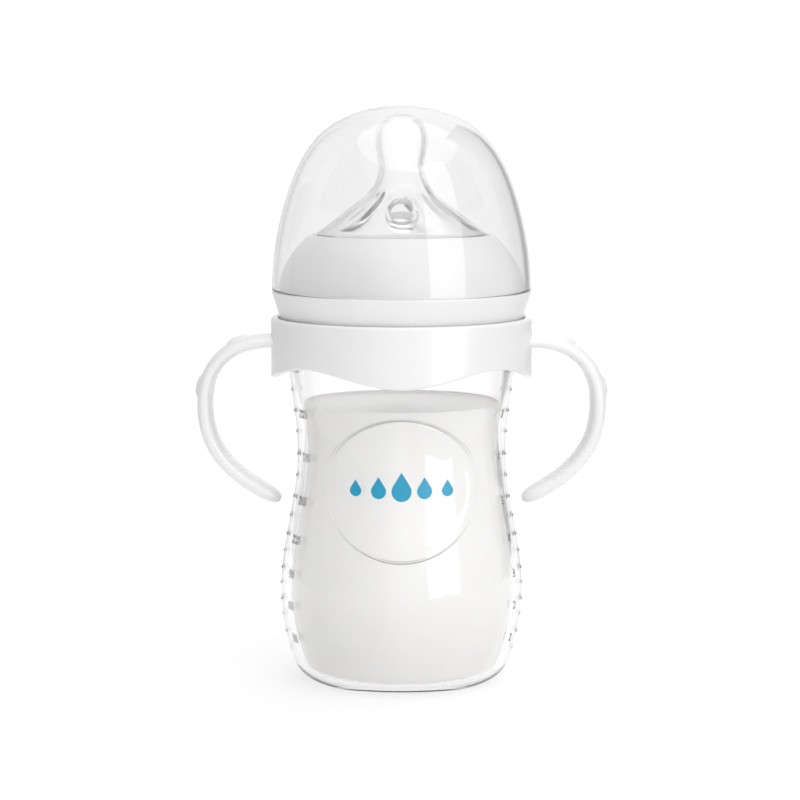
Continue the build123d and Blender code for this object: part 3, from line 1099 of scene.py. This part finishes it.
def make_world():
    """Studio surround: brightest in front, dark at the left, paler below the horizon, and plain
    white to the camera and through clear pieces."""
    world = bpy.data.worlds.new("studio")
    world.use_nodes = True
    nodes, links = world.node_tree.nodes, world.node_tree.links
    direction = nodes.new("ShaderNodeTexCoord")
    split = nodes.new("ShaderNodeSeparateXYZ")
    links.new(direction.outputs["Generated"], split.inputs["Vector"])
    shares = []
    for axis, stops in (("X", WORLD_SIDES), ("Y", WORLD_DEPTHS)):
        spread = nodes.new("ShaderNodeFloatCurve")
        curve = spread.mapping.curves[0]
        placed = [((place + 1) / 2, brightness / CURVE_TOP) for place, brightness in stops]
        curve.points[0].location = placed[0]
        curve.points[1].location = placed[-1]
        for point in placed[1:-1]:
            curve.points.new(*point)
        spread.mapping.update()
        share = calculate(nodes, links, "MULTIPLY_ADD", split.outputs[axis], 0.5, 0.5)
        links.new(share, spread.inputs["Value"])
        shares.append(spread.outputs["Value"])
    level = calculate(nodes, links, "MULTIPLY", *shares)
    whole = calculate(nodes, links, "MULTIPLY", level, CURVE_TOP**2)
    rise = rescale(nodes, links, split.outputs["Z"], (-0.05, 0.15), (0.4, 1.0))
    rise.interpolation_type = "SMOOTHSTEP"
    lower = nodes.new("ShaderNodeMix")
    lower.inputs["A"].default_value = WHITE_LEVEL
    links.new(rise.outputs["Result"], lower.inputs["Factor"])
    links.new(whole, lower.inputs["B"])
    path = nodes.new("ShaderNodeLightPath").outputs
    unlit = calculate(nodes, links, "LESS_THAN", path["Diffuse Depth"], 0.5)
    through = calculate(nodes, links, "MULTIPLY", unlit, path["Is Transmission Ray"])
    gloss = calculate(nodes, links, "MULTIPLY", path["Is Glossy Ray"], GLOSS_LEVEL)
    surround = calculate(nodes, links, "MAXIMUM", lower.outputs["Result"], gloss)
    direct = calculate(nodes, links, "MAXIMUM", path["Is Camera Ray"], through)
    seen = nodes.new("ShaderNodeMix")
    seen.inputs["B"].default_value = WHITE_LEVEL
    links.new(direct, seen.inputs["Factor"])
    links.new(surround, seen.inputs["A"])
    background = nodes["Background"]
    background.inputs["Color"].default_value = (*grey(1), 1)
    links.new(seen.outputs["Result"], background.inputs["Strength"])
    return world


bpy.context.scene.world = make_world()


CARD_X, CARD_NEAR, CARD_LENGTH = 0.26, 0.10, 0.55
CARD_FOOT, CARD_HEIGHT = 0.002, 0.6


def add_card(name, side, material):
    """A pale card beside and behind the object, seen only in gloss and through clear walls,
    where it draws the edges of a studio picture; side is -1 at the left and 1 at the right."""

    def point(a, b):
        return (side * CARD_X, CARD_NEAR + CARD_LENGTH * a, CARD_FOOT + CARD_HEIGHT * b)

    card = add_sheet(name, point, 6, material)
    card.visible_camera = False
    card.visible_diffuse = False
    card.visible_shadow = False


card_grey = card_material()
add_card("card_left", -1, card_grey)
add_card("card_right", 1, card_grey)

CAMERA_PLACE = Vector((-0.43, -748.5, 169.65))
CAMERA_PITCH = math.radians(6.77)
camera_data = bpy.data.cameras.new("camera")
camera_data.sensor_width = 36.0
camera_data.lens = 117.9
camera_data.clip_start = 0.01
camera_data.clip_end = 50
camera = bpy.data.objects.new("camera", camera_data)
camera.location = CAMERA_PLACE * MM
camera.rotation_euler = (math.pi / 2 - CAMERA_PITCH, 0, 0)
bpy.context.scene.collection.objects.link(camera)
bpy.context.scene.camera = camera

MAX_BOUNCES = 24
scene = bpy.context.scene
scene.view_settings.view_transform = "Standard"
scene.cycles.max_bounces = MAX_BOUNCES
scene.cycles.transmission_bounces = MAX_BOUNCES
scene.cycles.transparent_max_bounces = MAX_BOUNCES

bpy.context.view_layer.update()
